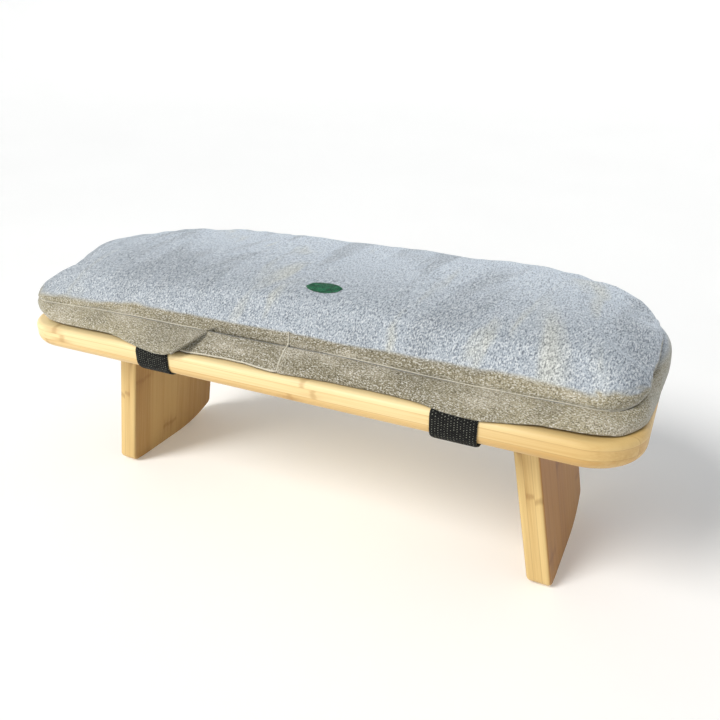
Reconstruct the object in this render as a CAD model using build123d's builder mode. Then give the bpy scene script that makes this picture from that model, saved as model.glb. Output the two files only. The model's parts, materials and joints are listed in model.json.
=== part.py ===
"""Folding kneeling bench with a strap-on cushion.

A D-shaped bamboo seat board stands on two splayed legs. Each leg hangs from two butt hinges and folds
inwards under the board, where a pot magnet holds it. A boxed cushion lies on the board, held by two
elastic straps, and its cover opens with a zip along the far side.

Millimetres. Origin on the floor under the middle of the seat. +X along the seat, +Y from the straight
near edge to the rounded far edge, +Z up.
"""
import os
from math import cos, radians, sin, sqrt, tan

from build123d import *

# Seat board
SEAT_LENGTH = 480.0
SEAT_DEPTH = 207.0
SEAT_THICKNESS = 19.0
SEAT_TOP = 145.0
NEAR_CORNER_RADIUS = 35.0
FAR_CORNER_RADIUS = 115.0
TOP_EDGE_RADIUS = 4.0
BOTTOM_EDGE_RADIUS = 9.0

# Legs: flat planks, splayed outwards, with rocker-shaped bottoms that rest on a short flat
LEG_SPLAY = 10.0
LEG_THICKNESS = 17.0
LEG_OUTER_TOP = 174.5
LEG_NEAR = -58.5
LEG_FAR = 55.5
LEG_ARRIS_RADIUS = 2.5
FOOT_FLAT_NEAR = -39.5
FOOT_FLAT_FAR = 5.5
ROCKER_RADIUS = 112.0
FOOT_CORNER_RADIUS = 6.0

# Butt hinges, two to a leg, in the corner between the leg and the board
HINGE_CENTRES = {"near": -34.0, "far": 31.0}
PIN_STANDOFF = 2.75
PIN_RADIUS = 1.2
PIN_HEAD_RADIUS = 2.1
PIN_HEAD_LENGTH = 1.0
RUNNING_CLEARANCE = 0.05
KNUCKLE_RADIUS = 2.5
KNUCKLE_LENGTH = 7.0
KNUCKLE_GAP = 0.3
LEAF_THICKNESS = 1.5
LEAF_START = 3.0
LEAF_WIDTH = 18.0
LEAF_CORNER_RADIUS = 2.0
LEAF_SCREWS = [(8.0, 0.0), (13.5, -12.0), (13.5, 12.0)]

# Countersunk wood screws
SCREW_RADIUS = 1.25
SCREW_HEAD_RADIUS = 2.5
SCREW_HEAD_HEIGHT = 1.25
SCREW_HEAD_ANGLE = 90
SCREW_LENGTH = 10.0
SCREW_CLEARANCE = 0.1
PILOT_DEPTH = 9.0
RECESS_WIDTH = 0.6
RECESS_LENGTH = 2.8
RECESS_DEPTH = 0.7

# Pot magnets under the board and steel strikes in the legs, which meet when a leg is folded
CATCH_RADIUS = 6.0
CATCH_DEPTH = 46.0
CATCH_REACH = 78.0
CUP_HEIGHT = 4.6
CUP_BASE = 1.2
CUP_WALL = 1.0
MAGNET_HEIGHT = 3.0
MAGNET_SIDE_GAP = 0.1
STRIKE_THICKNESS = 1.3
STRIKE_POCKET = 0.9

# Cushion
CUSHION_INSET = 7.0
CUSHION_THICKNESS = 45.0
CUSHION_LIFT = 1.8
BAND_HEIGHT = 14.0
CROWN_RADIUS = 24.0
CLOTH = 1.4
SOFT_GAP = 0.3

# Embroidered oval on the top panel
MOTIF_CENTRE = (15.0, -42.0)
MOTIF_RADII = (13.0, 8.0)
MOTIF_THICKNESS = 0.6

# Elastic straps round the board
STRAP_WIDTH = 30.0
STRAP_THICKNESS = 1.2
STRAP_TAB = 22.0
STRAP_GAP = 0.2
STRAP_CENTRES = {"left": -98.0, "right": 134.5}
STRAP_UNDER_GAPS = {"left": 0.1, "right": 1.6}

# Zip along the straight part of the far side
ZIP_LENGTH = 232.0
ZIP_HEIGHT = 7.0
ZIP_TAPE_WIDTH = 11.0
ZIP_TAPE_THICKNESS = 0.5
COIL_LENGTH = 222.0
COIL_WIDTH = 2.6
COIL_THICKNESS = 1.2
SLIDER_CLOSED_X = 100.0
SLIDER_LENGTH = 9.0
SLIDER_WIDTH = 7.0
SLIDER_PLATE = 1.2
SLIDER_GAP = 0.3
BRIDGE_RADIUS = 0.5
BRIDGE_STANDOFF = 1.9
BRIDGE_SPAN = 4.0
BRIDGE_POST = 0.8
PULL_LENGTH = 15.0
PULL_HEIGHT = 3.4
PULL_TAB_HEIGHT = 5.2
PULL_TAB_START = 4.0
PULL_THICKNESS = 0.9
PULL_EYE_RADIUS = 1.2
PULL_TIP_RADIUS = 1.5

# Worked out from the sizes above
SEAT_UNDERSIDE = SEAT_TOP - SEAT_THICKNESS
SPLAY = radians(LEG_SPLAY)
LEG_WIDTH_LEVEL = LEG_THICKNESS / cos(SPLAY)
LEG_INNER_TOP = LEG_OUTER_TOP - LEG_WIDTH_LEVEL
FOOT_SHIFT = SEAT_UNDERSIDE * tan(SPLAY)
PIN_X = LEG_INNER_TOP - PIN_STANDOFF
PIN_Z = SEAT_UNDERSIDE - PIN_STANDOFF
KNUCKLE_PITCH = KNUCKLE_LENGTH + KNUCKLE_GAP
HINGE_LENGTH = 5 * KNUCKLE_LENGTH + 4 * KNUCKLE_GAP
BOARD_KNUCKLES = [-2 * KNUCKLE_PITCH, 0.0, 2 * KNUCKLE_PITCH]
LEG_KNUCKLES = [-KNUCKLE_PITCH, KNUCKLE_PITCH]
LEAF_MIDDLE = (LEAF_START + LEAF_WIDTH) / 2
PILOT_RADIUS = SCREW_RADIUS + SCREW_CLEARANCE
STRIKE_PROUD = STRIKE_THICKNESS - STRIKE_POCKET
MAGNET_TOP = CUP_BASE + MAGNET_HEIGHT
CUSHION_BASE = SEAT_TOP + CUSHION_LIFT
CUSHION_TOP = SEAT_TOP + CUSHION_THICKNESS
BAND_TOP = CUSHION_BASE + BAND_HEIGHT
BAND_FAR_FACE = SEAT_DEPTH / 2 - CUSHION_INSET
ZIP_Z = CUSHION_BASE + ZIP_HEIGHT
COIL_FACE = BAND_FAR_FACE + ZIP_TAPE_THICKNESS
SLIDER_BASE = COIL_FACE + COIL_THICKNESS + SLIDER_GAP
BRIDGE_Y = SLIDER_BASE + SLIDER_PLATE + BRIDGE_STANDOFF
SIDES = {"left": -1, "right": 1}


os.makedirs("parts", exist_ok=True)


def save(builder, name):
    """Label a finished piece and write its STEP file."""
    builder.part.label = name
    export_step(builder.part, f"parts/{name}.step")


def seat_plan(inset, height):
    """D-shaped plan of the seat, drawn in by inset all round, on a level plane."""
    with BuildSketch(Plane.XY.offset(height)) as plan:
        Rectangle(SEAT_LENGTH - 2 * inset, SEAT_DEPTH - 2 * inset)
        fillet(plan.vertices().group_by(Axis.Y)[0], NEAR_CORNER_RADIUS - inset)
        fillet(plan.vertices().group_by(Axis.Y)[-1], FAR_CORNER_RADIUS - inset)
    return plan.sketch


def leaf_plane(side, y, on_leg):
    """Cross-section plane of a hinge leaf: x runs away from the pin, y points into the wood."""
    if on_leg:
        along = Vector(side * sin(SPLAY), 0, -cos(SPLAY))
        into_wood = Vector(side * cos(SPLAY), 0, sin(SPLAY))
    else:
        along = Vector(-side, 0, 0)
        into_wood = Vector(0, 0, 1)
    return Plane(origin=(side * PIN_X, y, PIN_Z), x_dir=along, z_dir=along.cross(into_wood))


def wood_face(side, y, on_leg, reach):
    """Plane on the wood's face at a distance from the pin, its normal pointing out of the wood."""
    section = leaf_plane(side, y, on_leg)
    spot = section.from_local_coords((reach, PIN_STANDOFF, 0))
    return Plane(origin=spot, x_dir=section.x_dir, z_dir=-section.y_dir)


def drill(face, radius, depth):
    """Blind round hole from a face into the wood of the part being built."""
    with BuildSketch(face) as mouth:
        Circle(radius)
    extrude(mouth.sketch, amount=-depth, mode=Mode.SUBTRACT)


def screw(face, head_height):
    """Countersunk wood screw whose head lies head_height above a wood face."""
    radial = Plane(origin=face.origin, x_dir=face.x_dir, z_dir=face.x_dir.cross(face.z_dir))
    tip = head_height - SCREW_LENGTH
    with BuildSketch(radial) as half_section:
        with BuildLine():
            Polyline(
                (0, head_height),
                (SCREW_HEAD_RADIUS, head_height),
                (SCREW_RADIUS, head_height - SCREW_HEAD_HEIGHT),
                (SCREW_RADIUS, tip + 2 * SCREW_RADIUS),
                (0, tip),
                close=True,
            )
        make_face()
    revolve(half_section.sketch, axis=Axis(face.origin, face.z_dir))
    with BuildSketch(face.offset(head_height)) as cross:
        Rectangle(RECESS_LENGTH, RECESS_WIDTH)
        Rectangle(RECESS_WIDTH, RECESS_LENGTH)
    extrude(cross.sketch, amount=-RECESS_DEPTH, mode=Mode.SUBTRACT)


def screw_hole(face, depth):
    """Countersunk clearance hole through a metal piece, from its outer face."""
    with Locations(face):
        CounterSinkHole(
            radius=PILOT_RADIUS,
            counter_sink_radius=SCREW_HEAD_RADIUS + SCREW_CLEARANCE,
            depth=depth,
            counter_sink_angle=SCREW_HEAD_ANGLE,
        )


def leaf_screw_faces(side, on_leg):
    """Wood faces under every screw of a leg's two hinges, on the leg or on the board."""
    faces = []
    for centre in HINGE_CENTRES.values():
        for reach, offset in LEAF_SCREWS:
            faces.append(wood_face(side, centre + offset, on_leg, reach))
    return faces


def catch_face(side, on_leg):
    """Wood face under a pot magnet on the board, or under its strike on the leg."""
    return wood_face(side, CATCH_DEPTH, on_leg, CATCH_REACH)


def rocker_rise(distance):
    """Height of the rocker curve at a distance beyond the flat of the foot."""
    return ROCKER_RADIUS - sqrt(ROCKER_RADIUS**2 - distance**2)


def board_section(growth, under_gap):
    """Cross-section of the seat board, grown all round, with extra room underneath."""
    low = SEAT_UNDERSIDE - growth - under_gap
    high = SEAT_TOP + growth
    with BuildSketch(mode=Mode.PRIVATE) as section:
        with Locations((0, (low + high) / 2)):
            Rectangle(SEAT_DEPTH + 2 * growth, high - low)
        fillet(section.vertices().group_by(Axis.Y)[0], BOTTOM_EDGE_RADIUS + growth)
        fillet(section.vertices().group_by(Axis.Y)[-1], TOP_EDGE_RADIUS + growth)
    return section.sketch


# ---------------------------------------------------------------- seat board
with BuildPart() as seat_board:
    extrude(seat_plan(0, SEAT_UNDERSIDE), amount=SEAT_THICKNESS)
    fillet(seat_board.faces().sort_by(Axis.Z)[-1].edges(), TOP_EDGE_RADIUS)
    fillet(seat_board.faces().sort_by(Axis.Z)[0].edges(), BOTTOM_EDGE_RADIUS)
    for side in SIDES.values():
        for face in leaf_screw_faces(side, on_leg=False):
            drill(face, PILOT_RADIUS, PILOT_DEPTH)
        drill(catch_face(side, on_leg=False), PILOT_RADIUS, PILOT_DEPTH)
save(seat_board, "seat_board")


# ---------------------------------------------------------------- legs
def leg(side):
    """Splayed plank whose top butts flat under the board and whose bottom is a rocker."""
    inner = side * LEG_INNER_TOP
    outer = side * LEG_OUTER_TOP
    shift = side * FOOT_SHIFT
    near_end = (LEG_NEAR, rocker_rise(FOOT_FLAT_NEAR - LEG_NEAR))
    far_end = (LEG_FAR, rocker_rise(LEG_FAR - FOOT_FLAT_FAR))
    with BuildPart() as plank:
        with BuildSketch(Plane.XZ):
            with BuildLine():
                Polyline(
                    (inner, SEAT_UNDERSIDE),
                    (outer, SEAT_UNDERSIDE),
                    (outer + shift, 0),
                    (inner + shift, 0),
                    close=True,
                )
            make_face()
        extrude(amount=SEAT_DEPTH, both=True)
        with BuildSketch(Plane.YZ) as profile:
            with BuildLine():
                Line((FOOT_FLAT_NEAR, 0), (FOOT_FLAT_FAR, 0))
                TangentArc((FOOT_FLAT_FAR, 0), far_end, tangent=(1, 0))
                Polyline(far_end, (LEG_FAR, SEAT_UNDERSIDE), (LEG_NEAR, SEAT_UNDERSIDE), near_end)
                TangentArc((FOOT_FLAT_NEAR, 0), near_end, tangent=(-1, 0))
            make_face()
            near_corner = profile.vertices().group_by(Axis.X)[0].sort_by(Axis.Y)[0]
            far_corner = profile.vertices().group_by(Axis.X)[-1].sort_by(Axis.Y)[0]
            fillet([near_corner, far_corner], FOOT_CORNER_RADIUS)
        extrude(amount=SEAT_LENGTH, both=True, mode=Mode.INTERSECT)
        top_edges = plank.faces().sort_by(Axis.Z)[-1].edges()
        fillet(plank.edges() - plank.edges().filter_by(Axis.X) - top_edges, LEG_ARRIS_RADIUS)
        for face in leaf_screw_faces(side, on_leg=True):
            drill(face, PILOT_RADIUS, PILOT_DEPTH)
        drill(catch_face(side, on_leg=True), CATCH_RADIUS + SCREW_CLEARANCE, STRIKE_POCKET)
        drill(catch_face(side, on_leg=True), PILOT_RADIUS, PILOT_DEPTH + STRIKE_POCKET)
    return plank


for side_name, side in SIDES.items():
    save(leg(side), f"{side_name}_leg")


# ---------------------------------------------------------------- hinges
def hinge_leaf(side, centre, on_leg):
    """Hinge leaf with its knuckles, bored for the pin and countersunk for its screws."""
    section = leaf_plane(side, centre, on_leg)
    with BuildPart() as leaf:
        with BuildSketch(wood_face(side, centre, on_leg, LEAF_MIDDLE)) as plate:
            Rectangle(LEAF_WIDTH - LEAF_START, HINGE_LENGTH)
            fillet(plate.vertices().group_by(Axis.X)[-1], LEAF_CORNER_RADIUS)
        extrude(amount=LEAF_THICKNESS)
        for offset in LEG_KNUCKLES if on_leg else BOARD_KNUCKLES:
            with BuildSketch(section.offset(offset)):
                Circle(KNUCKLE_RADIUS)
                with Locations((LEAF_START / 2, PIN_STANDOFF - LEAF_THICKNESS / 2)):
                    Rectangle(LEAF_START, LEAF_THICKNESS)
            extrude(amount=KNUCKLE_LENGTH / 2, both=True)
        with BuildSketch(section):
            Circle(PIN_RADIUS + RUNNING_CLEARANCE)
        extrude(amount=HINGE_LENGTH, both=True, mode=Mode.SUBTRACT)
        for reach, offset in LEAF_SCREWS:
            face = wood_face(side, centre + offset, on_leg, reach)
            screw_hole(face.offset(LEAF_THICKNESS), 2 * LEAF_THICKNESS)
    return leaf


def hinge_pin(side, centre):
    """Hinge pin with a rounded head at each end."""
    section = leaf_plane(side, centre, on_leg=False)
    with BuildPart() as pin:
        with BuildSketch(section):
            Circle(PIN_RADIUS)
        extrude(amount=HINGE_LENGTH / 2, both=True)
        for end in (-1, 1):
            with BuildSketch(section.offset(end * HINGE_LENGTH / 2)):
                Circle(PIN_HEAD_RADIUS)
            extrude(amount=end * PIN_HEAD_LENGTH)
        rims = pin.edges().filter_by(GeomType.CIRCLE).sort_by(Axis.Y)
        fillet([rims[0], rims[-1]], PIN_HEAD_LENGTH / 2)
    return pin


for side_name, side in SIDES.items():
    for end_name, centre in HINGE_CENTRES.items():
        save(hinge_leaf(side, centre, on_leg=False), f"{side_name}_{end_name}_hinge_board_leaf")
        save(hinge_leaf(side, centre, on_leg=True), f"{side_name}_{end_name}_hinge_leg_leaf")
        save(hinge_pin(side, centre), f"{side_name}_{end_name}_hinge_pin")

for side_name, side in SIDES.items():
    for piece_name, on_leg in (("board", False), ("leg", True)):
        with BuildPart() as leaf_screws:
            for face in leaf_screw_faces(side, on_leg):
                screw(face, LEAF_THICKNESS)
        save(leaf_screws, f"{side_name}_{piece_name}_leaf_screws")


# ---------------------------------------------------------------- magnetic catches
for side_name, side in SIDES.items():
    board_face = catch_face(side, on_leg=False)
    leg_face = catch_face(side, on_leg=True)

    with BuildPart() as magnet_cup:
        with BuildSketch(board_face):
            Circle(CATCH_RADIUS)
        extrude(amount=CUP_HEIGHT)
        with BuildSketch(board_face.offset(CUP_HEIGHT)):
            Circle(CATCH_RADIUS - CUP_WALL)
        extrude(amount=CUP_BASE - CUP_HEIGHT, mode=Mode.SUBTRACT)
        with BuildSketch(board_face):
            Circle(PILOT_RADIUS)
        extrude(amount=CUP_BASE, mode=Mode.SUBTRACT)
    save(magnet_cup, f"{side_name}_magnet_cup")

    with BuildPart() as ring_magnet:
        with BuildSketch(board_face.offset(CUP_BASE)):
            Circle(CATCH_RADIUS - CUP_WALL - MAGNET_SIDE_GAP)
        extrude(amount=MAGNET_HEIGHT)
        screw_hole(board_face.offset(MAGNET_TOP), 2 * MAGNET_HEIGHT)
    save(ring_magnet, f"{side_name}_ring_magnet")

    with BuildPart() as magnet_screw:
        screw(board_face, MAGNET_TOP)
    save(magnet_screw, f"{side_name}_magnet_screw")

    with BuildPart() as strike:
        with BuildSketch(leg_face.offset(-STRIKE_POCKET)):
            Circle(CATCH_RADIUS)
        extrude(amount=STRIKE_THICKNESS)
        screw_hole(leg_face.offset(STRIKE_PROUD), 2 * STRIKE_THICKNESS)
    save(strike, f"{side_name}_strike_plate")

    with BuildPart() as strike_screw:
        screw(leg_face, STRIKE_PROUD)
    save(strike_screw, f"{side_name}_strike_screw")


# ---------------------------------------------------------------- cushion
with BuildPart() as cover_band:
    extrude(seat_plan(CUSHION_INSET, CUSHION_BASE), amount=BAND_HEIGHT)
    extrude(seat_plan(CUSHION_INSET + CLOTH, CUSHION_BASE), amount=BAND_HEIGHT, mode=Mode.SUBTRACT)
save(cover_band, "cushion_cover_band")

with BuildPart() as cover_top:
    extrude(seat_plan(CUSHION_INSET, BAND_TOP), amount=CUSHION_TOP - BAND_TOP)
    fillet(cover_top.faces().sort_by(Axis.Z)[-1].edges(), CROWN_RADIUS)
    offset(amount=-CLOTH, openings=cover_top.faces().sort_by(Axis.Z)[0])
save(cover_top, "cushion_cover_top")

with BuildPart() as cover_bottom:
    extrude(seat_plan(CUSHION_INSET + CLOTH, CUSHION_BASE), amount=CLOTH)
save(cover_bottom, "cushion_cover_bottom")

with BuildPart() as foam_core:
    foam_plan = seat_plan(CUSHION_INSET + CLOTH + SOFT_GAP, CUSHION_BASE + CLOTH + SOFT_GAP)
    extrude(foam_plan, amount=CUSHION_TOP - CUSHION_BASE - 2 * (CLOTH + SOFT_GAP))
    fillet(foam_core.faces().sort_by(Axis.Z)[-1].edges(), CROWN_RADIUS - CLOTH - SOFT_GAP)
save(foam_core, "cushion_foam_core")

with BuildPart() as motif:
    with BuildSketch(Plane.XY.offset(CUSHION_TOP)):
        with Locations(MOTIF_CENTRE):
            Ellipse(*MOTIF_RADII)
    extrude(amount=MOTIF_THICKNESS)
save(motif, "cushion_embroidered_motif")


# ---------------------------------------------------------------- elastic straps
for side_name, centre in STRAP_CENTRES.items():
    under_gap = STRAP_UNDER_GAPS[side_name]
    with BuildPart() as strap:
        with BuildSketch(Plane.YZ.offset(centre)):
            add(board_section(STRAP_GAP + STRAP_THICKNESS, under_gap))
            add(board_section(STRAP_GAP, under_gap), mode=Mode.SUBTRACT)
            with Locations((0, SEAT_TOP)):
                Rectangle(SEAT_DEPTH - 2 * STRAP_TAB, SEAT_THICKNESS, mode=Mode.SUBTRACT)
        extrude(amount=STRAP_WIDTH / 2, both=True)
    save(strap, f"{side_name}_elastic_strap")


# ---------------------------------------------------------------- zip
with BuildPart() as zip_tape:
    with BuildSketch(Plane.XZ.offset(-BAND_FAR_FACE)):
        with Locations((0, ZIP_Z)):
            Rectangle(ZIP_LENGTH, ZIP_TAPE_WIDTH)
    extrude(amount=-ZIP_TAPE_THICKNESS)
save(zip_tape, "zip_tape")

with BuildPart() as zip_coil:
    with BuildSketch(Plane.YZ):
        with Locations((COIL_FACE + COIL_THICKNESS / 2, ZIP_Z)):
            RectangleRounded(COIL_THICKNESS, COIL_WIDTH, COIL_THICKNESS / 3)
    extrude(amount=COIL_LENGTH / 2, both=True)
save(zip_coil, "zip_coil")

slider_plane = Plane.YZ.offset(SLIDER_CLOSED_X)
flange_width = (SLIDER_WIDTH - COIL_WIDTH) / 2 - SLIDER_GAP
post_height = BRIDGE_STANDOFF + BRIDGE_RADIUS
post_offset = (BRIDGE_SPAN + BRIDGE_POST) / 2

with BuildPart() as zip_slider:
    with BuildSketch(slider_plane):
        with Locations((SLIDER_BASE + SLIDER_PLATE / 2, ZIP_Z)):
            Rectangle(SLIDER_PLATE, SLIDER_WIDTH)
        for direction in (-1, 1):
            flange_middle = ZIP_Z + direction * (SLIDER_WIDTH - flange_width) / 2
            with Locations((SLIDER_BASE - COIL_THICKNESS / 2, flange_middle)):
                Rectangle(COIL_THICKNESS, flange_width)
    extrude(amount=SLIDER_LENGTH / 2, both=True)
    fillet(zip_slider.edges().filter_by(Axis.Y), SLIDER_PLATE / 2)
    with BuildSketch(slider_plane):
        for direction in (-1, 1):
            post_foot = SLIDER_BASE + SLIDER_PLATE
            with Locations((post_foot + post_height / 2, ZIP_Z + direction * post_offset)):
                Rectangle(post_height, BRIDGE_POST)
    extrude(amount=PULL_EYE_RADIUS / 2, both=True)
    with BuildSketch(Plane.XY.offset(ZIP_Z)):
        with Locations((SLIDER_CLOSED_X, BRIDGE_Y)):
            Circle(BRIDGE_RADIUS)
    extrude(amount=BRIDGE_SPAN / 2 + BRIDGE_POST, both=True)
save(zip_slider, "zip_slider")

with BuildPart() as zip_pull:
    with BuildSketch(Plane.XZ.offset(-BRIDGE_Y)):
        with Locations((SLIDER_CLOSED_X + PULL_LENGTH / 2, ZIP_Z)):
            Rectangle(PULL_LENGTH, PULL_HEIGHT)
        tab_middle = SLIDER_CLOSED_X + (PULL_TAB_START + PULL_LENGTH) / 2
        with Locations((tab_middle, ZIP_Z)):
            RectangleRounded(PULL_LENGTH - PULL_TAB_START, PULL_TAB_HEIGHT, PULL_TIP_RADIUS)
    extrude(amount=PULL_THICKNESS / 2, both=True)
    with BuildSketch(Plane.XY.offset(ZIP_Z)):
        with Locations((SLIDER_CLOSED_X, BRIDGE_Y)):
            Circle(PULL_EYE_RADIUS)
    extrude(amount=PULL_HEIGHT / 2, both=True)
    with BuildSketch(Plane.XY.offset(ZIP_Z)):
        with Locations((SLIDER_CLOSED_X, BRIDGE_Y)):
            Circle(BRIDGE_RADIUS + RUNNING_CLEARANCE)
    extrude(amount=SLIDER_WIDTH, both=True, mode=Mode.SUBTRACT)
save(zip_pull, "zip_pull")
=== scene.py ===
"""Folding kneeling bench in bamboo with a strapped velvet cushion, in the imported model's frame, in metres."""

import json
from math import cos, exp, pi, radians, sin

import bmesh
import bpy
import numpy as np
from mathutils import Matrix, Vector, noise
from mathutils.bvhtree import BVHTree


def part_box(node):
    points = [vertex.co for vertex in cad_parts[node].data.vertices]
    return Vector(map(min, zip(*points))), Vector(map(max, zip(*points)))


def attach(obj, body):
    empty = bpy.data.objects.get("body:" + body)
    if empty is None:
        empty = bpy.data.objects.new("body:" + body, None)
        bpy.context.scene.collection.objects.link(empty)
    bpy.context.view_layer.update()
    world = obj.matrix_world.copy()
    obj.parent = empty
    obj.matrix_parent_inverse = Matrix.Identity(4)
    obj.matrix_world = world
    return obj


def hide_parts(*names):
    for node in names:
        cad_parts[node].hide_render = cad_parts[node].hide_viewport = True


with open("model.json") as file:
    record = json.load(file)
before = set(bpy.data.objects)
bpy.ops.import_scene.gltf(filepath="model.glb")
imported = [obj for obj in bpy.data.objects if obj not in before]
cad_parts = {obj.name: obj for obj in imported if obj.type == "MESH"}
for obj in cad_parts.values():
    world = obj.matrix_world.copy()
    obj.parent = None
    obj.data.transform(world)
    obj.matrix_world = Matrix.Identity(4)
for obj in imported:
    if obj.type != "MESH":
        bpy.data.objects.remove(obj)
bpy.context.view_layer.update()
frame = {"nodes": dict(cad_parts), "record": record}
MM = 0.001
BOARD_LOW, BOARD_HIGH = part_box("seat_board")
BOARD_TOP = BOARD_HIGH.z
LEG_SPLAY = radians(10)

# Bamboo: distance between the rings of the cane, and width of half a glue line
RING_PITCH = 0.23
GLUE_LINE = 0.35 * MM

# Cushion plan at the side seam, heights above the board of the seam and the crown, and how far the seam is
# drawn in at the right end
SEAM_HALF_LENGTH = 236.5 * MM
SEAM_NEAR = -87.0 * MM
SEAM_FAR = 98.5 * MM
NEAR_CORNER = 28.6 * MM
FAR_CORNER = (120.0 * MM, 104.0 * MM)
SEAM_HEIGHT = 14.4 * MM
CROWN_HEIGHT = 41.5 * MM
END_INSET = 2.5 * MM

# Upright seam and fold of the near side: X at the hem, and run along X for each metre of height
BAND_SEAM_X = 8.0 * MM
BAND_SEAM_LEAN = 0.05
FOLD_X = -79.0 * MM
FOLD_LEAN = 1.45
FOLD_DEPTH = 2.4 * MM
BAND_CLOTH = 1.4 * MM

# Filling of the cushion: size of the even mesh, steps of the simulation and longest move of a vertex
REMESH_SIZE = 4.0 * MM
FILL_FRAMES = 20
CLOTH_CAP = 5.0 * MM

STRAP_BOXES = {side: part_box(f"{side}_elastic_strap") for side in ("left", "right")}
STRAP_GAP = 0.25 * MM
STRAP_THICKNESS = 1.15 * MM
STRAP_TAB = 21 * MM
RIGHT_STRAP_SLACK = 1.5 * MM

# Outside the bench, where rays towards it start
RAY_FROM = 0.4

# Camera fitted to the outlines in the photo, with its angles in degrees
CAMERA_PLACE = (0.2493, -0.4668, 0.3495)
CAMERA_TURN, CAMERA_DIP, CAMERA_ROLL = 28.54, 24.01, -1.32
CAMERA_LENS = 35.74
CAMERA_SHIFT = 0.0417


# ---------------------------------------------------------------- small helpers
def smooth(low, high, value):
    """0 at low, 1 at high, and a smooth step between them. low may be the larger of the two."""
    t = min(max((value - low) / (high - low), 0.0), 1.0)
    return t * t * (3 - 2 * t)


def bell(value, middle, width):
    """1 in the middle, fading to nearly 0 at two widths from it."""
    return exp(-(((value - middle) / width) ** 2))


def new_mesh(name, verts, faces, material):
    """Smooth mesh object with one material."""
    mesh = bpy.data.meshes.new(name)
    mesh.from_pydata([tuple(v) for v in verts], [], faces)
    mesh.update()
    mesh.materials.append(material)
    obj = bpy.data.objects.new(name, mesh)
    bpy.context.scene.collection.objects.link(obj)
    shade_smooth(obj)
    return obj


def shade_smooth(obj):
    obj.data.polygons.foreach_set("use_smooth", [True] * len(obj.data.polygons))


def new_piece(name, verts, faces, material, slot):
    """Mesh object that rides on the seat, attached to the root body, with the material it is given. The slot is
    not used.
    """
    obj = new_mesh(name, verts, faces, material)
    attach(obj, "root")
    return obj


def ring_faces(i, j, count):
    """Quads between two closed rings of count vertices, ring i and ring j."""
    nexts = [(k, (k + 1) % count) for k in range(count)]
    return [(i * count + k, i * count + m, j * count + m, j * count + k) for k, m in nexts]


def inner_ring_faces(i, j, count):
    """The same quads, seen from the other side."""
    nexts = [(k, (k + 1) % count) for k in range(count)]
    return [(i * count + k, j * count + k, j * count + m, i * count + m) for k, m in nexts]


def end_caps(rings, count):
    """Faces that close the first and the last ring."""
    last = (rings - 1) * count
    return [tuple(reversed(range(count))), tuple(last + k for k in range(count))]


def tube(points, radius, sides=8, closed=False, up=Vector((0, 0, 1))):
    """Vertices and faces of a round thread along points; radius may be a function of 0..1."""
    count = len(points)
    verts, faces = [], []
    for i, point in enumerate(points):
        before = points[i - 1] if i or closed else points[i]
        after = points[(i + 1) % count] if i < count - 1 or closed else points[i]
        along = (after - before).normalized()
        side = along.cross(up)
        side = side.normalized() if side.length > 1e-6 else along.orthogonal().normalized()
        lift = side.cross(along).normalized()
        r = radius(i / (count - 1)) if callable(radius) else radius
        for k in range(sides):
            angle = 2 * pi * k / sides
            verts.append(point + side * (cos(angle) * r) + lift * (sin(angle) * r))
    for i in range(count if closed else count - 1):
        faces += ring_faces(i, (i + 1) % count, sides)
    if not closed:
        faces += end_caps(count, sides)
    return verts, faces


def merge(parts):
    """Several (vertices, faces) lists as one."""
    verts, faces = [], []
    for part_verts, part_faces in parts:
        start = len(verts)
        verts.extend(part_verts)
        faces.extend(tuple(start + i for i in face) for face in part_faces)
    return verts, faces


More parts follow.
